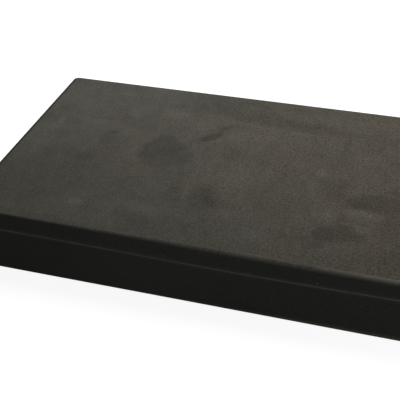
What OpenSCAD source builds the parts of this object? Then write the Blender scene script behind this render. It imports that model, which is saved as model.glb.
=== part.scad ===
// Full-size yoga block: one slab of moulded closed-cell foam, with eased edges,
// rounded upright corners and the fine bead that the two mould halves leave
// all round its sides.
//
// Origin at the centre of the underside. X runs along the length, Y across, Z up.

/* [Block] */
// Length of the block, along X
block_l = 305; // [150:5:400]
// Width of the block, along Y
block_w = 205; // [100:5:300]
// Thickness of the block, along Z
block_h = 50; // [25:1:80]

/* [Edges] */
// Radius of the four upright corners, seen from above
corner_r = 5; // [4:0.5:20]
// Radius of the eased edge round the top face
top_edge_r = 2; // [1:0.25:3.5]
// Radius of the eased edge round the underside
bottom_edge_r = 2; // [1:0.25:3.5]

/* [Mould line] */
// Depth of the mould line below the top face
mould_line_depth = 15; // [6:0.5:18]
// How far the bead on the mould line stands proud of the side
bead_proud = 0.4; // [0.2:0.05:0.5]
// Height of the bead where it meets the side
bead_h = 1; // [1:0.1:2]

/* [Hidden] */
$fn = 96;

// Centre distance of the upright corners, along X and along Y
corner_span_x = block_l - 2 * corner_r;
corner_span_y = block_w - 2 * corner_r;
// Height of the mould line above the underside
mould_line_z = block_h - mould_line_depth;
// Radius of the arc that rises bead_proud over a chord of bead_h
bead_r = (pow(bead_h / 2, 2) + pow(bead_proud, 2)) / (2 * bead_proud);

// Section through the rim of the slab, drawn in the XY plane with its height
// along Y. x = 0 is the axis of an upright corner and x = corner_r is the side.
module rim_section() {
    intersection() {
        // keeps the section on one side of the corner axis
        square([corner_r + bead_proud, block_h]);
        union() {
            // the flat side, between the two eased edges
            translate([0, bottom_edge_r])
                square([corner_r, block_h - bottom_edge_r - top_edge_r]);
            // the underside and the top face, up to where their edges start
            square([corner_r - bottom_edge_r, block_h / 2]);
            translate([0, block_h / 2])
                square([corner_r - top_edge_r, block_h / 2]);
            // the eased edges
            translate([corner_r - bottom_edge_r, bottom_edge_r])
                circle(r = bottom_edge_r);
            translate([corner_r - top_edge_r, block_h - top_edge_r])
                circle(r = top_edge_r);
            // the bead on the mould line
            translate([corner_r + bead_proud - bead_r, mould_line_z])
                circle(r = bead_r);
        }
    }
}

// One upright corner: the section turned through a quarter, about its axis.
module corner_post() {
    rotate_extrude(angle = 90)
        rim_section();
}

// One straight side: the section run along X, facing +Y.
module straight_side(length) {
    translate([-length / 2, 0, 0])
        rotate([90, 0, 90])
            linear_extrude(height = length)
                rim_section();
}

// The slab, put together from its core, two pairs of sides and four corners.
module block() {
    color([0.13, 0.125, 0.115])
    union() {
        translate([-corner_span_x / 2, -corner_span_y / 2, 0])
            cube([corner_span_x, corner_span_y, block_h]);
        for (side = [0, 180]) rotate([0, 0, side]) {
            translate([0, corner_span_y / 2, 0])
                straight_side(corner_span_x);
            translate([corner_span_x / 2, 0, 0])
                rotate([0, 0, -90])
                    straight_side(corner_span_y);
            translate([corner_span_x / 2, corner_span_y / 2, 0])
                corner_post();
            translate([-corner_span_x / 2, corner_span_y / 2, 0])
                rotate([0, 0, 90])
                    corner_post();
        }
    }
}

block();
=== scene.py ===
import math

import bpy
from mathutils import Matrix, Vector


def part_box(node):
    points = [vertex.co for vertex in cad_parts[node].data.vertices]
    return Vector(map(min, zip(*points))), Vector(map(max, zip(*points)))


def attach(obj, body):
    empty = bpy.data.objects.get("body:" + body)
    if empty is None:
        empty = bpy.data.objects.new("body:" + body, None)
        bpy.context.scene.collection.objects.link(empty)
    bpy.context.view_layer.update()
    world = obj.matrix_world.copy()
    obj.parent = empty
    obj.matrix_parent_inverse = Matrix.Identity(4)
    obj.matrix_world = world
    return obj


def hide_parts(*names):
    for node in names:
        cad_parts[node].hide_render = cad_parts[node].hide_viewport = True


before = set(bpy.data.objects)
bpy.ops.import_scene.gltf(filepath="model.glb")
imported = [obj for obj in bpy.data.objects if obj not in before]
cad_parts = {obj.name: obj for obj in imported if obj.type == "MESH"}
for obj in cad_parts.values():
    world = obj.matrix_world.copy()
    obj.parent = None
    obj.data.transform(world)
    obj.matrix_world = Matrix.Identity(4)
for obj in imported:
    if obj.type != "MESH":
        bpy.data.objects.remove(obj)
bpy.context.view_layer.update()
scene = bpy.context.scene
scene.view_settings.view_transform = "Standard"


# ---------------------------------------------------------------------------
# Camera
# A short telephoto view from the front and a little to the right, looking down
# on the top face, close enough that both ends of the block run out of view.
# ---------------------------------------------------------------------------
PICTURE_PX = 400
FOCAL_PX = 701.7
AXIS_PX = 194.0
LOOK_DOWN_DEG = 36.09
TURN_LEFT_DEG = 14.91
CAMERA_PLACE = (0.1011, -0.4311, 0.3344)
SENSOR_MM = 36.0

camera_data = bpy.data.cameras.new("camera")
camera_data.sensor_width = SENSOR_MM
camera_data.lens = FOCAL_PX * SENSOR_MM / PICTURE_PX
camera_data.shift_x = (PICTURE_PX / 2 - AXIS_PX) / PICTURE_PX
camera = bpy.data.objects.new("camera", camera_data)
camera.location = CAMERA_PLACE
camera.rotation_euler = (
    math.radians(90.0 - LOOK_DOWN_DEG),
    0.0,
    math.radians(TURN_LEFT_DEG),
)
scene.collection.objects.link(camera)
scene.camera = camera


# ---------------------------------------------------------------------------
# Block
# One slab of closed-cell foam, pressed to shape in a two-part mould and then
# sanded on its two large faces. The sides keep the mould's dark skin and the fine
# bead of its parting line, and the edges are eased.
# ---------------------------------------------------------------------------
CORNER_RADIUS = 0.005
EDGE_RADIUS = 0.002
MOULD_LINE_DEPTH = 0.015
BEAD_PROUD = 0.0004
BEAD_HEIGHT = 0.001

# The frame's box goes round the bead, and the slab's own sizes don't.
low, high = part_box("block")
BLOCK_LENGTH = high[0] - low[0] - 2 * BEAD_PROUD
BLOCK_WIDTH = high[1] - low[1] - 2 * BEAD_PROUD
BLOCK_THICKNESS = high[2] - low[2]

CELL = 0.00175        # spacing of the mesh on the open faces
EDGE_CELLS = 6        # mesh rows from the middle of an eased edge to either side
BEAD_CELLS = 8        # mesh rows across the bead


class Wiring:
    """Adds nodes to one tree. Apart from node(), each call returns its result's socket."""

    def __init__(self, tree):
        self.tree = tree

    def node(self, kind, settings=None, **inputs):
        made = self.tree.nodes.new(kind)
        for name, value in (settings or {}).items():
            setattr(made, name, value)
        for name, value in inputs.items():
            self.feed(made.inputs[name.replace("_", " ")], value)
        return made

    def feed(self, socket, value):
        if isinstance(value, bpy.types.NodeSocket):
            self.tree.links.new(value, socket)
        else:
            socket.default_value = value

    def math(self, operation, *values):
        made = self.tree.nodes.new("ShaderNodeMath")
        made.operation = operation
        for socket, value in zip(made.inputs, values):
            self.feed(socket, value)
        return made.outputs[0]

    def vector(self, operation, *values):
        made = self.tree.nodes.new("ShaderNodeVectorMath")
        made.operation = operation
        for socket, value in zip(made.inputs, values):
            self.feed(socket, value)
        one_number = operation in ("LENGTH", "DOT_PRODUCT", "DISTANCE")
        return made.outputs["Value" if one_number else "Vector"]

    def ramp(self, value, low, high, to_low=0.0, to_high=1.0, curve="LINEAR"):
        made = self.tree.nodes.new("ShaderNodeMapRange")
        made.interpolation_type = curve
        for socket, fed in zip(made.inputs, (value, low, high, to_low, to_high)):
            self.feed(socket, fed)
        return made.outputs["Result"]

    def varied(self, base, *changes):
        """The base, plus each change times its amount."""
        for change, amount in changes:
            base = self.math("MULTIPLY_ADD", change, amount, base)
        return base

    def xyz(self, x=0.0, y=0.0, z=0.0):
        return self.node("ShaderNodeCombineXYZ", X=x, Y=y, Z=z).outputs[0]

    def noise(self, vector, size, detail=2.0, roughness=0.5, seed=0.0):
        """Noise from -1 to 1, whose blotches are about size metres across."""
        made = self.node(
            "ShaderNodeTexNoise",
            {"noise_dimensions": "4D"},
            Vector=vector,
            W=seed,
            Scale=self.math("DIVIDE", 0.5, size),
            Detail=detail,
            Roughness=roughness,
        )
        return self.ramp(made.outputs[0], 0.25, 0.75, -1.0, 1.0)


def named_input(tree, name, kind, value=None):
    socket = tree.interface.new_socket(name, in_out="INPUT", socket_type=kind)
    if value is not None:
        socket.default_value = value
    return socket


# A mark is a patch of the face that is pressed, scuffed or just darker. The group gives
# its share, 0 outside and 1 inside; Raggedness roughens its outline.
mark_group = bpy.data.node_groups.new("pressed mark", "GeometryNodeTree")
named_input(mark_group, "Place", "NodeSocketVector")
named_input(mark_group, "Centre", "NodeSocketVector")
named_input(mark_group, "Half Size", "NodeSocketVector")
named_input(mark_group, "Turn", "NodeSocketFloat")
named_input(mark_group, "Softness", "NodeSocketFloat", 0.5)
named_input(mark_group, "Raggedness", "NodeSocketFloat", 0.0)
mark_group.interface.new_socket("Share", in_out="OUTPUT", socket_type="NodeSocketFloat")
wire = Wiring(mark_group)
given = wire.node("NodeGroupInput").outputs
offset = wire.vector("SUBTRACT", given["Place"], given["Centre"])
turned = wire.node(
    "ShaderNodeVectorRotate",
    {"rotation_type": "Z_AXIS"},
    Vector=offset,
    Angle=wire.math("MULTIPLY", given["Turn"], -1.0),
).outputs[0]
reach = wire.vector("LENGTH", wire.vector("DIVIDE", turned, given["Half Size"]))
reach = wire.math("ADD", reach, given["Raggedness"])
inner = wire.math("SUBTRACT", 1.0, given["Softness"])
outer = wire.math("ADD", 1.0, given["Softness"])
wire.node(
    "NodeGroupOutput",
    Share=wire.ramp(reach, inner, outer, 1.0, 0.0, "SMOOTHSTEP"),
)

# The marks on the top face, in millimetres from its centre: how far along and
# across, half length, half width, turn in degrees, softness, darkness (below
# zero for a pale scuff) and depth. Where marks overlap, the strongest one counts.
TOP_MARKS = (
    (-42, -2, 15, 15, 0, 0.14, 1.00, 0.30),        # thumb-sized press left of the middle
    (-34, 3, 15, 9, -52, 0.14, 0.98, 0.30),
    (-27, -4, 14, 9, -28, 0.30, 0.90, 0.20),
    (-38, -15, 10, 8, 0, 0.35, 0.95, 0.15),
    (-41, 15, 9, 11, -15, 0.18, 0.85, 0.10),
    (-31, 9, 8, 8, -40, 0.20, 0.95, 0.20),
    (-21, -1, 7, 6, -30, 0.30, 0.90, 0.15),
    (-49, -5, 10, 8, 20, 0.40, 1.20, 0.30),
    (-36, 2, 13, 9, 20, 0.40, 1.20, 0.30),
    (-8, 30.5, 10, 4, 45, 0.30, 1.45, 0.60),       # nick, in two bites
    (-0.5, 44.5, 8, 2.4, 50, 0.35, 1.05, 0.50),
    (-4, 38, 15, 5.5, 50, 0.40, 0.38, 0.15),
    (3, 51, 4, 1.5, 60, 0.50, 0.50, 0.10),
    (9, -50, 12, 5.5, -65, 0.35, 1.15, 0.25),      # press towards the front
    (6, -55, 15, 11, -10, 0.45, 0.75, 0.15),
    (5, -46, 8, 9, 0, 0.40, 0.90, 0.15),
    (-15, -54, 10, 9, 0, 0.50, 0.60, 0.10),
    (-11, -57, 3, 5, -20, 0.50, 0.90, 0.10),
    (-16, -44, 4, 3, 0, 0.50, 0.80, 0.05),
    (25, -56, 11, 7, 0, 0.60, 0.55, 0.0),
    (-35, -88, 15, 13, -25, 0.40, 0.80, 0.15),     # another at the front edge
    (-37, -97, 9, 5, 0, 0.50, 1.05, 0.15),
    (-25, -85, 5, 8, 30, 0.50, 0.90, 0.10),
    (-43, -62, 4, 9, 0, 0.60, 0.70, 0.05),
    (0, -82, 14, 10, 0, 0.70, 0.45, 0.0),
    (92, -68, 8, 9, -15, 0.25, 1.30, 0.30),        # press near the front right corner
    (99, -62, 11, 6, 10, 0.30, 1.05, 0.25),
    (100, -65, 14, 8, -8, 0.30, 0.98, 0.25),
    (113, -66, 5, 6, 10, 0.40, 0.75, 0.15),
    (101, -49, 3, 5, 10, 0.50, 0.60, 0.05),
    (87, -81, 8, 4, 30, 0.40, 1.10, 0.15),
    (66, -77, 4, 4, 0, 0.40, 1.10, 0.10),
    (70, -86, 22, 14, 0, 0.60, 0.50, 0.0),
    (131, -86, 13, 14, 0, 0.60, 0.55, 0.0),
    (123, -27, 24, 10, 6, 0.30, 1.00, 0.15),       # band that runs off to the right end
    (113, -31, 10, 5, 0, 0.40, 1.50, 0.15),
    (133, -42, 9, 26, 0, 0.70, 0.55, 0.0),
    (114, -21, 4, 5, 0, 0.50, 0.85, 0.05),
    (93, -20, 11, 9, -20, 0.60, 0.65, 0.0),
    (93, -9, 14, 8, 0, 0.60, 0.62, 0.0),
    (-84, 19, 4, 3, 0, 0.40, 1.05, 0.15),
    (-86, 8, 6, 11, 0, 0.50, 0.60, 0.05),
    (-136, 45, 2.5, 3, 20, 0.50, 0.90, 0.10),
    (-131, 51, 2.5, 2.5, 20, 0.50, 0.90, 0.10),
    (-134, 48, 9, 7, 30, 0.50, 0.45, 0.05),
    (-94, -21, 9, 7, 0, 0.50, 0.85, 0.05),
    (-126, -21, 12, 5, -35, 0.50, 0.80, 0.05),
    (-108, -17, 10, 8, 0, 0.60, 0.55, 0.0),
    (-124, 6, 6, 6, 0, 0.60, 0.45, 0.0),
    (-84, -54, 10, 15, 0, 0.70, 0.50, 0.0),
    (-112, -62, 66, 46, -8, 0.80, 0.82, 0.0),      # darker over the whole front left
    (70, -80, 20, 18, 0, 0.80, 0.72, 0.0),
    (-38, -24, 24, 20, 0, 0.80, 0.38, 0.0),
    (57, -36, 24, 52, 8, 0.80, 0.48, 0.0),
    (30, -76, 40, 16, 0, 0.80, 0.45, 0.0),
    (-5, -66, 28, 9, 0, 0.80, 0.42, 0.0),
    (-42, 74, 2.5, 3, 0, 0.50, 1.05, 0.05),
    (-8, 74, 3.5, 9, -15, 0.50, 0.95, 0.05),
    (-14, 79, 9, 15, -15, 0.50, 0.60, 0.0),
    (42, 66, 62, 8.5, -4, 0.30, 0.68, 0.0),        # rubbed band along the back
    (16, 76, 30, 9, -2, 0.60, 0.32, 0.0),
    (-30, 74, 16, 11, 0, 0.70, 0.55, 0.0),
    (30, 92, 120, 6, 0, 0.80, 0.40, 0.0),
    (10, -102, 190, 19, 0, 0.80, 0.66, 0.0),       # darker along the front edge
    (-112, -101, 64, 8, 0, 0.60, 1.12, 0.0),
    (96, 36, 3, 22, 0, 0.60, 0.35, 0.0),
    (52, 14, 18, 5, 0, 0.70, 0.35, 0.0),
    (20, 8, 12, 9, 0, 0.70, 0.30, 0.0),
    (-133, 21, 4, 10, 0, 0.35, -1.00, 0.0),        # pale scuffs from here on
    (-98, 32, 14, 4, 0, 0.60, -0.60, 0.0),
    (-116, 76, 26, 30, 0, 0.80, -0.75, 0.0),
    (-77, 24, 15, 6, -10, 0.60, -0.60, 0.0),
    (-140, -12, 14, 28, 0, 0.80, -0.50, 0.0),
    (115, 29, 9, 7, 0, 0.60, -0.55, 0.0),
    (-15, 47, 7, 12, -10, 0.60, -0.50, 0.0),
    (-78, 52, 5, 10, 25, 0.60, -0.45, 0.0),
    (-42, 59, 11, 6, 0, 0.60, -0.50, 0.0),
    (-15, 63, 12, 1.6, -8, 0.60, -0.50, 0.0),
    (22, 57, 24, 1.4, -6, 0.60, -0.55, 0.0),
    (62, 54, 18, 2.0, 2, 0.60, -0.45, 0.0),
    (-4, 41, 4, 1.0, 45, 0.50, -0.80, 0.0),
    (18, 38, 20, 9, 0, 0.70, -0.40, 0.0),
    (114, -42, 12, 5, 0, 0.50, -0.75, 0.0),
    (114, -58, 5, 4, -30, 0.60, -0.60, 0.0),
    (88, -49, 7, 4, 0, 0.60, -0.55, 0.0),
    (82, 1, 4, 6, 25, 0.50, -0.75, 0.0),
    (77, -17, 3, 9, 10, 0.60, -0.45, 0.0),
    (44, -12, 3.5, 18, -5, 0.60, -0.40, 0.0),
    (20, -20, 16, 15, 0, 0.70, -0.45, 0.0),
    (-7, -51, 1.6, 6, 5, 0.50, -0.80, 0.0),
    (-31, -70, 13, 4, -8, 0.60, -0.55, 0.0),
    (26, -64, 3, 6, 15, 0.50, -0.55, 0.0),
    (-77, -76, 6, 4, 0, 0.50, -0.90, 0.0),
)

slab = bpy.data.node_groups.new("moulded slab", "GeometryNodeTree")
slab.is_modifier = True
slab_inputs = {
    "Length": ("NodeSocketFloat", BLOCK_LENGTH),
    "Width": ("NodeSocketFloat", BLOCK_WIDTH),
    "Thickness": ("NodeSocketFloat", BLOCK_THICKNESS),
    "Corner Radius": ("NodeSocketFloat", CORNER_RADIUS),
    "Edge Radius": ("NodeSocketFloat", EDGE_RADIUS),
    "Mould Line Depth": ("NodeSocketFloat", MOULD_LINE_DEPTH),
    "Bead Proud": ("NodeSocketFloat", BEAD_PROUD),
    "Bead Height": ("NodeSocketFloat", BEAD_HEIGHT),
    "Line Wander": ("NodeSocketFloat", 0.0002),
    "Line Bow": ("NodeSocketFloat", 0.0008),
    "Side Wander": ("NodeSocketFloat", 0.0004),
    "Face Sag": ("NodeSocketFloat", 0.0003),
    "Seed": ("NodeSocketFloat", 7.0),
    "Material": ("NodeSocketMaterial", None),
}
sockets = {
    name: named_input(slab, name, kind).identifier
    for name, (kind, value) in slab_inputs.items()
}
slab.interface.new_socket("Slab", in_out="OUTPUT", socket_type="NodeSocketGeometry")
wire = Wiring(slab)
given = wire.node("NodeGroupInput").outputs

# The mesh starts as a block of unit cells: EDGE_CELLS of them at each end belong
# to the eased edge there, and the rest to the open face between.
cells_x = round((BLOCK_LENGTH - 2 * CORNER_RADIUS) / CELL) + 2 * EDGE_CELLS
cells_y = round((BLOCK_WIDTH - 2 * CORNER_RADIUS) / CELL) + 2 * EDGE_CELLS
lower_cells = round((BLOCK_THICKNESS - MOULD_LINE_DEPTH) / CELL)
upper_cells = round(MOULD_LINE_DEPTH / CELL)
wall_cells = lower_cells + BEAD_CELLS + upper_cells
cells_z = wall_cells + 2 * EDGE_CELLS
cube = wire.node(
    "GeometryNodeMeshCube",
    Size=(cells_x, cells_y, cells_z),
    Vertices_X=cells_x + 1,
    Vertices_Y=cells_y + 1,
    Vertices_Z=cells_z + 1,
).outputs["Mesh"]
cell_place = wire.node("GeometryNodeInputPosition").outputs[0]
cell = wire.node("ShaderNodeSeparateXYZ", Vector=cell_place).outputs
side_x, side_y, side_z = (wire.math("SIGN", cell[axis]) for axis in "XYZ")


def into_edge(axis, cells):
    """How far a cell lies into the eased edge: 0 on the open face, 1 outermost."""
    away = wire.math("ABSOLUTE", cell[axis])
    return wire.ramp(away, cells / 2 - EDGE_CELLS, cells / 2)


edge_x = into_edge("X", cells_x)
edge_y = into_edge("Y", cells_y)
edge_z = into_edge("Z", cells_z)
edge_xy = wire.math("MAXIMUM", edge_x, edge_y)


def core(axis, cells, size):
    """Distance from the middle, up to the axis of the corner."""
    away = wire.math("ABSOLUTE", cell[axis])
    limit = wire.math("SUBTRACT", wire.math("MULTIPLY", size, 0.5), given["Corner Radius"])
    return wire.ramp(away, 0.0, cells / 2 - EDGE_CELLS, 0.0, limit)


core_x = core("X", cells_x, given["Length"])
core_y = core("Y", cells_y, given["Width"])


def lean(edge):
    """The tangent of the angle that a corner's cell makes with the other axis."""
    share = wire.math("DIVIDE", edge, edge_xy)
    return wire.math("TANGENT", wire.math("MULTIPLY", share, math.pi / 4))


# Which way the rim faces, seen from above.
facing = wire.vector("NORMALIZE", wire.xyz(lean(edge_x), lean(edge_y)))
facing = wire.node("ShaderNodeSeparateXYZ", Vector=facing).outputs

# How far round the eased edge a point lies: 0 on the side, 1 on the large face.
FLAT_SHARE = 1 / 3    # share of the edge cells that lie on the flat inside the corner
on_face = wire.math("GREATER_THAN", edge_z, 1.0 - 0.5 / EDGE_CELLS)
inwards = wire.math("MULTIPLY", wire.ramp(edge_xy, FLAT_SHARE, 1.0, 0.5, 0.0), on_face)
round_edge = wire.math("MULTIPLY_ADD", edge_z, 0.5, inwards)
angle = wire.math("MULTIPLY", round_edge, math.pi / 2)

# The side's rows, from the lower edge up to the bead, across it and on to the
# upper edge. The mould line bows up and down along the block, and wanders a little.
BOW_LENGTH = 0.300
BOW_LOW_POINT = 0.045
LINE_WAVE = 0.09
cell_size = wire.xyz(CELL, CELL, 0.0)
beside = wire.vector("MULTIPLY", cell_place, cell_size)
line_z = wire.math("SUBTRACT", given["Thickness"], given["Mould Line Depth"])
wander = wire.noise(beside, LINE_WAVE, detail=1.0, roughness=0.4, seed=given["Seed"])
line_z = wire.math("MULTIPLY_ADD", wander, given["Line Wander"], line_z)
from_low = wire.math("MULTIPLY_ADD", cell["X"], CELL, -BOW_LOW_POINT)
bow = wire.math("COSINE", wire.math("MULTIPLY", from_low, 2.0 * math.pi / BOW_LENGTH))
line_z = wire.math("SUBTRACT", line_z, wire.math("MULTIPLY", bow, given["Line Bow"]))
half_bead = wire.math("MULTIPLY", given["Bead Height"], 0.5)
bead_foot = wire.math("SUBTRACT", line_z, half_bead)
bead_head = wire.math("ADD", line_z, half_bead)
wall_top = wire.math("SUBTRACT", given["Thickness"], given["Edge Radius"])
above_bead = wire.math("SUBTRACT", wall_top, bead_head)
row = wire.math("ADD", cell["Z"], wall_cells / 2)
bead_row = lower_cells + BEAD_CELLS
wall_z = wire.ramp(row, 0.0, lower_cells, given["Edge Radius"], bead_foot)
wall_z = wire.math("ADD", wall_z, wire.ramp(row, lower_cells, bead_row, 0.0, given["Bead Height"]))
wall_z = wire.math("ADD", wall_z, wire.ramp(row, bead_row, wall_cells, 0.0, above_bead))

# The bead is an arc that stands proud of the side over its own height.
proud = given["Bead Proud"]
squares = wire.math("ADD", wire.math("POWER", half_bead, 2.0), wire.math("POWER", proud, 2.0))
bead_radius = wire.math("DIVIDE", squares, wire.math("MULTIPLY", proud, 2.0))
from_line = wire.math("SUBTRACT", wall_z, line_z)
from_line_squared = wire.math("POWER", from_line, 2.0)
squares = wire.math("SUBTRACT", wire.math("POWER", bead_radius, 2.0), from_line_squared)
bead = wire.math("SUBTRACT", wire.math("SQRT", squares), bead_radius)
bead = wire.math("MAXIMUM", wire.math("ADD", bead, proud), 0.0)

# The sides lie a little hollow and uneven, as foam does when it shrinks.
SIDE_WAVE = 0.12
hollow = wire.noise(beside, SIDE_WAVE, seed=wire.math("ADD", given["Seed"], 3.0))
hollow = wire.math("MULTIPLY", wire.ramp(hollow, -1.0, 1.0), given["Side Wander"])
out = wire.math("SUBTRACT", given["Corner Radius"], given["Edge Radius"])
out = wire.math("MULTIPLY", out, wire.ramp(edge_xy, 0.0, FLAT_SHARE))
out = wire.math("MULTIPLY_ADD", given["Edge Radius"], wire.math("COSINE", angle), out)
out = wire.math("SUBTRACT", wire.math("ADD", out, bead), wire.math("MULTIPLY", hollow, edge_xy))
place_x = wire.math("MULTIPLY", side_x, wire.math("MULTIPLY_ADD", facing["X"], out, core_x))
place_y = wire.math("MULTIPLY", side_y, wire.math("MULTIPLY_ADD", facing["Y"], out, core_y))
rise = wire.math("MULTIPLY", given["Edge Radius"], wire.math("SINE", angle))
place_z = wire.math("MULTIPLY_ADD", rise, side_z, wall_z)

# The top face has its marks, and a slight sag between them.
SAG_WAVE = 0.07
RAG_WAVE = 0.010
FINE_RAG_WAVE = 0.0035
RIM_FADE = 3.0        # how sharply marks and sag end at the eased edge
upper_half = wire.math("GREATER_THAN", side_z, 0.0)
on_top = wire.math("MULTIPLY", upper_half, wire.math("POWER", round_edge, RIM_FADE))
top_place = wire.xyz(place_x, place_y, 0.0)
ragged = wire.varied(
    0.0,
    (wire.noise(top_place, RAG_WAVE, detail=3.0, roughness=0.6, seed=2.0), 0.20),
    (wire.noise(top_place, FINE_RAG_WAVE, detail=2.0, roughness=0.6, seed=5.0), 0.24),
)
pressed = 0.0
scuffed = 0.0
depth = 0.0
for along, across, half_long, half_wide, turn, softness, dark, deep in TOP_MARKS:
    mark = wire.node(
        "GeometryNodeGroup",
        {"node_tree": mark_group},
        Place=top_place,
        Centre=(along / 1000, across / 1000, 0.0),
        Half_Size=(half_long / 1000, half_wide / 1000, 1.0),
        Turn=math.radians(turn),
        Softness=softness,
        Raggedness=ragged,
    ).outputs["Share"]
    if dark > 0.0:
        pressed = wire.math("MAXIMUM", pressed, wire.math("MULTIPLY", mark, dark))
        depth = wire.math("MAXIMUM", depth, wire.math("MULTIPLY", mark, deep / 1000))
    else:
        scuffed = wire.math("MAXIMUM", scuffed, wire.math("MULTIPLY", mark, -dark))
sag = wire.noise(top_place, SAG_WAVE, seed=wire.math("ADD", given["Seed"], 9.0))
sag = wire.math("MULTIPLY_ADD", wire.ramp(sag, -1.0, 1.0), given["Face Sag"], depth)
place_z = wire.math("SUBTRACT", place_z, wire.math("MULTIPLY", sag, on_top))

# How far a point lies from the flat face, over the surface of the rim.
arc = wire.math("MULTIPLY", given["Edge Radius"], math.pi / 2)
over_arc = wire.math("MULTIPLY", wire.math("SUBTRACT", 1.0, round_edge), arc)
above_foot = wire.math("SUBTRACT", wall_z, given["Edge Radius"])
down_side = wire.math("MINIMUM", above_foot, wire.math("SUBTRACT", wall_top, wall_z))
from_face = wire.math("ADD", over_arc, down_side)

# The crest of the bead is painted pale, and the side a little on either side of it:
# partly rubbed wear, partly a painted highlight where the bead catches light from above.
# The upper edge is painted pale too, faintly from the middle on and more towards the
# right end: partly rubbed wear, partly a painted highlight along the rim.
CREST_WEAR_AND_HIGHLIGHT = 0.35
CREST_SPREAD = 0.7    # below 1 spreads the wear and painted highlight from the crest over the whole bead
BESIDE_WEAR_AND_HIGHLIGHT = 0.13
BESIDE_REACH = (0.0024, 0.0005)
MIDDLE_STRETCH = (-0.08, 0.08)
RIGHT_STRETCH = (0.08, 0.135)
MIDDLE_WEAR_AND_HIGHLIGHT = 0.25
RIGHT_WEAR_AND_HIGHLIGHT = 0.75
EDGE_WEAR_AND_HIGHLIGHT_UPPER_LIMIT = (0.0002, 0.0014)
EDGE_WEAR_AND_HIGHLIGHT_LOWER_LIMIT = (0.0038, 0.0020)
pale_wear_and_highlight = wire.math("POWER", wire.math("DIVIDE", bead, proud), CREST_SPREAD)
pale_wear_and_highlight = wire.math("MULTIPLY", pale_wear_and_highlight, CREST_WEAR_AND_HIGHLIGHT)
beside_line = wire.ramp(wire.math("ABSOLUTE", from_line), *BESIDE_REACH, 0.0, BESIDE_WEAR_AND_HIGHLIGHT)
pale_wear_and_highlight = wire.math("ADD", pale_wear_and_highlight, beside_line)
# Painted highlight with rubbed wear along the upper edge, stronger towards the right end.
edge_wear_and_highlight = wire.ramp(place_x, *MIDDLE_STRETCH, 0.0, MIDDLE_WEAR_AND_HIGHLIGHT)
edge_wear_and_highlight = wire.math("ADD", edge_wear_and_highlight, wire.ramp(place_x, *RIGHT_STRETCH, 0.0, RIGHT_WEAR_AND_HIGHLIGHT))
below_face = wire.ramp(from_face, *EDGE_WEAR_AND_HIGHLIGHT_UPPER_LIMIT)
upper_edge_wear_and_highlight = wire.math("MULTIPLY", below_face, wire.ramp(from_face, *EDGE_WEAR_AND_HIGHLIGHT_LOWER_LIMIT))
upper_edge_wear_and_highlight = wire.math("MULTIPLY", upper_edge_wear_and_highlight, edge_wear_and_highlight)
pale_wear_and_highlight = wire.math("MULTIPLY_ADD", upper_edge_wear_and_highlight, upper_half, pale_wear_and_highlight)

# The material reads these. They are worked out on the unit cells, so they are
# stored before the points move.
shaped = cube
for name, value in (
    ("from_face", from_face),
    ("pressed", wire.math("MULTIPLY", pressed, on_top)),
    ("scuffed", wire.math("MULTIPLY", scuffed, on_top)),
    ("pale_wear_and_highlight", pale_wear_and_highlight),
):
    shaped = wire.node(
        "GeometryNodeStoreNamedAttribute",
        {"data_type": "FLOAT", "domain": "POINT"},
        Geometry=shaped,
        Name=name,
        Value=value,
    ).outputs[0]
shaped = wire.node(
    "GeometryNodeSetPosition", Geometry=shaped, Position=wire.xyz(place_x, place_y, place_z)
).outputs[0]
shaped = wire.node("GeometryNodeSetShadeSmooth", Geometry=shaped).outputs[0]
shaped = wire.node("GeometryNodeRealizeInstances", Geometry=shaped).outputs[0]
shaped = wire.node(
    "GeometryNodeSetMaterial", Geometry=shaped, Material=given["Material"]
).outputs[0]
wire.node("NodeGroupOutput", Slab=shaped)


# Foam grain: the broken cells of a foam surface. Tone is lighter and darker
# grains about zero, and Height their relief, both at the grain size given.
CELL_TONE = 0.7       # how much the single cells count in the tone, beside the noise
CELL_HEIGHT = 0.6     # and in the height
CELL_FLOOR = 0.05     # distance from a cell's centre where its wall starts to rise
CELL_RIDGE = 0.75     # and where it is highest, both as shares of the cell
grain_group = bpy.data.node_groups.new("foam grain", "ShaderNodeTree")
named_input(grain_group, "Place", "NodeSocketVector")
named_input(grain_group, "Grain Size", "NodeSocketFloat", 0.0006)
named_input(grain_group, "Seed", "NodeSocketFloat", 0.0)
for name in ("Tone", "Height"):
    grain_group.interface.new_socket(name, in_out="OUTPUT", socket_type="NodeSocketFloat")
wire = Wiring(grain_group)
given = wire.node("NodeGroupInput").outputs
coarse = wire.noise(given["Place"], given["Grain Size"], roughness=0.6, seed=given["Seed"])
cells = wire.node(
    "ShaderNodeTexVoronoi",
    {"feature": "F1"},
    Vector=given["Place"],
    Scale=wire.math("DIVIDE", 0.8, given["Grain Size"]),
).outputs["Distance"]
walls = wire.ramp(cells, CELL_FLOOR, CELL_RIDGE)
tone = wire.math("MULTIPLY_ADD", wire.ramp(walls, 0.0, 1.0, -0.5, 0.5), CELL_TONE, coarse)
rough = wire.ramp(coarse, -1.0, 1.0, 0.0, 1.0 - CELL_HEIGHT)
height = wire.math("MULTIPLY_ADD", walls, CELL_HEIGHT, rough)
wire.node("NodeGroupOutput", Tone=tone, Height=height)

# The foam itself. One material paints the sanded faces and the skinned sides, and
# the values stored on the mesh say where each of them shows.
WARM_FACE_COLOUR = (0.0797, 0.0700, 0.0546, 1.0)    # sanded foam, a dusty warm grey
COOL_FACE_COLOUR = (0.0724, 0.0706, 0.0606, 1.0)    # its cooler clouds and left end
PRESSED_COLOUR = (0.0355, 0.0325, 0.0265, 1.0)
SIDE_COLOUR = (0.0275, 0.0273, 0.0242, 1.0)         # the mould's dark skin
# Pale colour for rubbed wear and painted highlight, on the bead and the upper edge.
PALE_WEAR_AND_HIGHLIGHT_COLOUR = (0.1850, 0.1790, 0.1590, 1.0)
DUST_COLOUR = (0.1500, 0.1400, 0.1200, 1.0)

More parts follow.
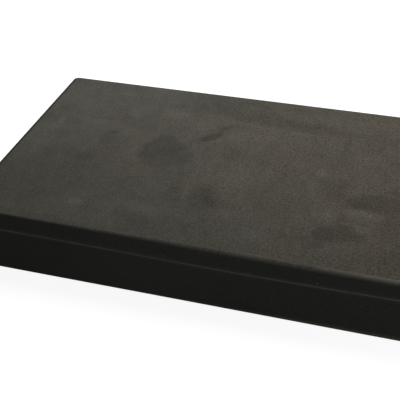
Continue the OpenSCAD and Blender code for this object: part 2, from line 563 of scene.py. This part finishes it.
foam = bpy.data.materials.new("closed cell foam")
foam.use_nodes = True
foam.node_tree.nodes.clear()
wire = Wiring(foam.node_tree)
place = wire.node("ShaderNodeTexCoord").outputs["Object"]


def painted(name):
    return wire.node("ShaderNodeAttribute", {"attribute_name": name}).outputs["Fac"]


def grain(size, seed):
    return wire.node(
        "ShaderNodeGroup",
        {"node_tree": grain_group},
        Place=place,
        Grain_Size=size,
        Seed=seed,
    ).outputs


# A mix node has sockets for several kinds of value. These are the ones for colours.
MIX_SHARE = 0
MIX_FIRST = 6
MIX_SECOND = 7
MIX_RESULT = 2


def blend(share, first, second, kind="MIX"):
    made = wire.node("ShaderNodeMix", {"data_type": "RGBA", "blend_type": kind})
    for number, value in ((MIX_SHARE, share), (MIX_FIRST, first), (MIX_SECOND, second)):
        wire.feed(made.inputs[number], value)
    return made.outputs[MIX_RESULT]


def tinted(colour, light):
    """The colour, times a light value that changes over the surface."""
    return blend(1.0, colour, wire.xyz(light, light, light), "MULTIPLY")


CLOUD_SIZE = 0.030
MOTTLE_SIZE = 0.006
clouds = wire.noise(place, CLOUD_SIZE, detail=4.0, roughness=0.60, seed=1.0)
mottle = wire.noise(place, MOTTLE_SIZE, detail=3.0, roughness=0.60, seed=2.0)
along, across = wire.node("ShaderNodeSeparateXYZ", Vector=place).outputs[:2]

# The face turns warmer from the left end to the right in broken clouds, and is
# cooler towards its long edges and in the thumb-sized press.
BROAD_WARMTH_SIZE = 0.050
PATCH_WARMTH_SIZE = 0.014
WARMTH_RANGE = (-0.18, 0.16)
COOLER_ACROSS = (0.02, 0.10, 0.02, -0.07)       # from, to, and the change at each
COOLER_IN_PRESS = (0.008, 0.020, -0.15, 0.0)
PRESS_CENTRE = (-0.044, 0.006, BLOCK_THICKNESS)
warmth = wire.varied(
    along,
    (wire.noise(place, BROAD_WARMTH_SIZE, seed=3.0), 0.05),
    (wire.noise(place, PATCH_WARMTH_SIZE, detail=4.0, roughness=0.60, seed=6.0), 0.12),
)
warmth = wire.math("ADD", warmth, wire.ramp(wire.math("ABSOLUTE", across), *COOLER_ACROSS))
from_press = wire.vector("DISTANCE", place, PRESS_CENTRE)
warmth = wire.math("ADD", warmth, wire.ramp(from_press, *COOLER_IN_PRESS))

# The sanding leaves a faint nap across the block, in wavy streaks.
BEND_SCALE = 18.0     # bends to a metre
BEND_REACH = 0.02
NAP_SIZE = 0.0022
NAP_STRETCH = 0.22    # below 1 draws the streaks out
bent = wire.node(
    "ShaderNodeTexNoise", Vector=place, Scale=BEND_SCALE, Detail=1.0, Roughness=0.4
).outputs["Color"]
bent = wire.vector("MULTIPLY", bent, (BEND_REACH, BEND_REACH, 0.0))
streaked = wire.vector("MULTIPLY", wire.vector("ADD", place, bent), (1.0, NAP_STRETCH, 1.0))
nap = wire.noise(streaked, NAP_SIZE, seed=4.0)

# The sanded face, whose grain shows more towards the right.
FACE_GRAIN_SIZE = 0.00080
FACE_GRAIN_RISE = (-0.06, 0.14, 0.30, 0.48)     # from, to, and the amount at each
PRESSED_STRENGTH = 0.44
SCUFFED_STRENGTH = 0.22
face_grain = grain(FACE_GRAIN_SIZE, 11.0)
grain_amount = wire.ramp(along, *FACE_GRAIN_RISE)
face_light = wire.varied(
    1.0, (clouds, 0.13), (mottle, 0.115), (nap, 0.055), (face_grain["Tone"], grain_amount)
)
face = blend(wire.ramp(warmth, *WARMTH_RANGE), COOL_FACE_COLOUR, WARM_FACE_COLOUR)
pressed_share = wire.math("MULTIPLY", painted("pressed"), PRESSED_STRENGTH)
face = blend(pressed_share, face, PRESSED_COLOUR)
scuffed_share = wire.math("MULTIPLY", painted("scuffed"), SCUFFED_STRENGTH)
face = blend(scuffed_share, face, DUST_COLOUR)
face = tinted(face, face_light)

# The skinned side, a little darker towards both ends.
SIDE_GRAIN_SIZE = 0.00060
DARKER_LEFT = (-0.13, -0.01, 0.86, 1.02)        # from, to, and the light at each
DARKER_RIGHT = (0.01, 0.05, 0.0, -0.15)         # the same, added to it
side_grain = grain(SIDE_GRAIN_SIZE, 23.0)
darker_left = wire.ramp(along, *DARKER_LEFT)
darker_right = wire.ramp(along, *DARKER_RIGHT)
side_light = wire.math("ADD", wire.math("MULTIPLY_ADD", clouds, 0.10, darker_left), darker_right)
side_light = wire.varied(side_light, (mottle, 0.07), (side_grain["Tone"], 0.22))
side = tinted(SIDE_COLOUR, side_light)

# Sanding reaches over the eased edge, further towards the right, and fades out
# in a slightly ragged line. At the left end it stops just short, so the rim there
# keeps the dark skin colour as a thin line of painted shade.
SANDED_STRETCH = (-0.120, 0.100)
SANDED_REACH = (0.0026, 0.0064)                 # at the two ends of that stretch
SANDED_FADE = (0.0020, 0.0038)
PAINTED_SHADE_AT_LEFT_END = (-0.1500, -0.1486)
RAGGED_BY = 0.0004
reach = wire.ramp(along, *SANDED_STRETCH, *SANDED_REACH)
fade = wire.ramp(along, *SANDED_STRETCH, *SANDED_FADE)
rim = wire.math("MULTIPLY_ADD", mottle, RAGGED_BY, painted("from_face"))
sanded = wire.ramp(rim, wire.math("SUBTRACT", reach, fade), reach, 1.0, 0.0, "SMOOTHSTEP")
# Painted shade: the left end's rim keeps the dark skin colour.
sanded = wire.math("MULTIPLY", sanded, wire.ramp(along, *PAINTED_SHADE_AT_LEFT_END))
colour = blend(sanded, side, face)
# The bead and the upper edge take the pale colour: rubbed wear and painted highlight together.
pale_wear_and_highlight_share = wire.math("MULTIPLY", painted("pale_wear_and_highlight"), wire.math("MULTIPLY_ADD", mottle, 0.25, 0.75))
colour = blend(pale_wear_and_highlight_share, colour, PALE_WEAR_AND_HIGHLIGHT_COLOUR)

# A few specks of dust.
SPECK_SCALE = 140.0            # places for a speck to a metre
SPECK_RADIUS = (0.07, 0.11)    # full and fading, in places
SPECKS_LEFT_OUT = 0.90
SPECK_STRENGTH = 0.35
specks = wire.node("ShaderNodeTexVoronoi", {"feature": "F1"}, Vector=place, Scale=SPECK_SCALE).outputs
speck = wire.ramp(specks["Distance"], *SPECK_RADIUS, 1.0, 0.0)
chosen = wire.node("ShaderNodeSeparateColor", Color=specks["Color"]).outputs["Red"]
speck = wire.math("MULTIPLY", speck, wire.math("GREATER_THAN", chosen, SPECKS_LEFT_OUT))
colour = blend(wire.math("MULTIPLY", speck, SPECK_STRENGTH), colour, DUST_COLOUR)

# The grain's relief is bump. The skin on the sides is smoother than sanded foam.
SIDE_RELIEF = 0.6     # beside the face's 1
SIDE_ROUGHNESS = 0.78
SANDED_ROUGHER = 0.14
SHINE = 0.06          # next to none, because open foam cells swallow it
GRAIN_RELIEF = 0.00025
RELIEF_STRENGTH = 0.45
relief = wire.math("SUBTRACT", face_grain["Height"], side_grain["Height"])
relief = wire.math("MULTIPLY", relief, sanded)
relief = wire.math("ADD", relief, wire.math("MULTIPLY", side_grain["Height"], SIDE_RELIEF))
bump = wire.node(
    "ShaderNodeBump", Strength=RELIEF_STRENGTH, Distance=GRAIN_RELIEF, Height=relief
).outputs[0]
roughness = wire.varied(SIDE_ROUGHNESS, (sanded, SANDED_ROUGHER), (mottle, 0.04))
shader = wire.node(
    "ShaderNodeBsdfPrincipled",
    Base_Color=colour,
    Roughness=roughness,
    Specular_IOR_Level=SHINE,
    Normal=bump,
)
wire.node("ShaderNodeOutputMaterial", Surface=shader.outputs[0])

maker = bpy.data.objects.new("block maker", bpy.data.meshes.new("block maker"))
scene.collection.objects.link(maker)
shaping = maker.modifiers.new("moulded slab", "NODES")
shaping.node_group = slab
for name, (kind, value) in slab_inputs.items():
    shaping[sockets[name]] = foam if name == "Material" else value
graph = bpy.context.evaluated_depsgraph_get()
block_mesh = bpy.data.meshes.new_from_object(
    maker.evaluated_get(graph), preserve_all_data_layers=True, depsgraph=graph
)
block_mesh.materials.pop(index=0)    # the empty slot that a new cube brings
block = bpy.data.objects.new("foam_block", block_mesh)
scene.collection.objects.link(block)
bpy.data.objects.remove(maker)
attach(block, "root")
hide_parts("block")


# ---------------------------------------------------------------------------
# Floor
# A plain white floor. It is white to the eye and in reflections, whiter still
# away from the block, and greyer to the soft light that it throws back, so that
# the dark sides stay dark.
# ---------------------------------------------------------------------------
FLOOR_REACH = 6.0
FLOOR_GREY = (0.36, 0.36, 0.36, 1.0)    # to the light that it throws back
GLOW_NEAR = 0.87
GLOW_FAR = 1.0
GLOW_RISES = (0.25, 0.80)               # distance from the block's middle
floor_corners = [
    (side_x * FLOOR_REACH, side_y * FLOOR_REACH, 0.0)
    for side_x, side_y in ((-1, -1), (1, -1), (1, 1), (-1, 1))
]
floor_mesh = bpy.data.meshes.new("floor")
floor_mesh.from_pydata(floor_corners, [], [(0, 1, 2, 3)])
floor = bpy.data.objects.new("floor", floor_mesh)
scene.collection.objects.link(floor)

floor_paint = bpy.data.materials.new("floor")
floor_paint.use_nodes = True
floor_paint.node_tree.nodes.clear()
wire = Wiring(floor_paint.node_tree)


def seen_by_eye(wire):
    """1 for what the camera sees, straight, mirrored or through, and 0 for soft light."""
    ray = wire.node("ShaderNodeLightPath").outputs
    seen = wire.math("MAXIMUM", ray["Is Camera Ray"], ray["Is Glossy Ray"])
    return wire.math("MAXIMUM", seen, ray["Is Transmission Ray"])


matt = wire.node("ShaderNodeBsdfDiffuse", Color=FLOOR_GREY)
away = wire.vector("LENGTH", wire.node("ShaderNodeTexCoord").outputs["Object"])
brightness = wire.ramp(away, *GLOW_RISES, GLOW_NEAR, GLOW_FAR)
brightness = wire.math("MULTIPLY", seen_by_eye(wire), brightness)
glow = wire.node("ShaderNodeEmission", Color=(1.0, 1.0, 1.0, 1.0), Strength=brightness)
both = wire.node("ShaderNodeAddShader")
wire.feed(both.inputs[0], matt.outputs[0])
wire.feed(both.inputs[1], glow.outputs[0])
wire.node("ShaderNodeOutputMaterial", Surface=both.outputs[0])
floor_mesh.materials.append(floor_paint)


# ---------------------------------------------------------------------------
# Light
# A large soft lamp hangs above the back of the block, a weaker one stands out to
# the front right, and a plain pale surround does the rest.
# ---------------------------------------------------------------------------
def soft_lamp(name, place, aim, across, watts):
    lamp = bpy.data.lights.new(name, "AREA")
    lamp.shape = "SQUARE"
    lamp.size = across
    lamp.energy = watts
    holder = bpy.data.objects.new(name, lamp)
    holder.location = place
    way = [there - here for here, there in zip(place, aim)]
    holder.rotation_euler = Vector(way).to_track_quat("-Z", "Y").to_euler()
    holder.visible_camera = False
    scene.collection.objects.link(holder)


soft_lamp(
    "key lamp", place=(0.02, 0.21, 0.46), aim=(0.03, 0.04, 0.05), across=0.42, watts=2.10
)
soft_lamp(
    "fill lamp", place=(0.52, -0.38, 0.26), aim=(0.10, 0.0, 0.02), across=0.40, watts=0.82
)

SURROUND = 0.16
world = bpy.data.worlds.new("surround")
world.use_nodes = True
world.node_tree.nodes.clear()
scene.world = world
wire = Wiring(world.node_tree)
strength = wire.ramp(seen_by_eye(wire), 0.0, 1.0, SURROUND, 1.0)
sky = wire.node("ShaderNodeBackground", Color=(1.0, 1.0, 1.0, 1.0), Strength=strength)
wire.node("ShaderNodeOutputWorld", Surface=sky.outputs[0])
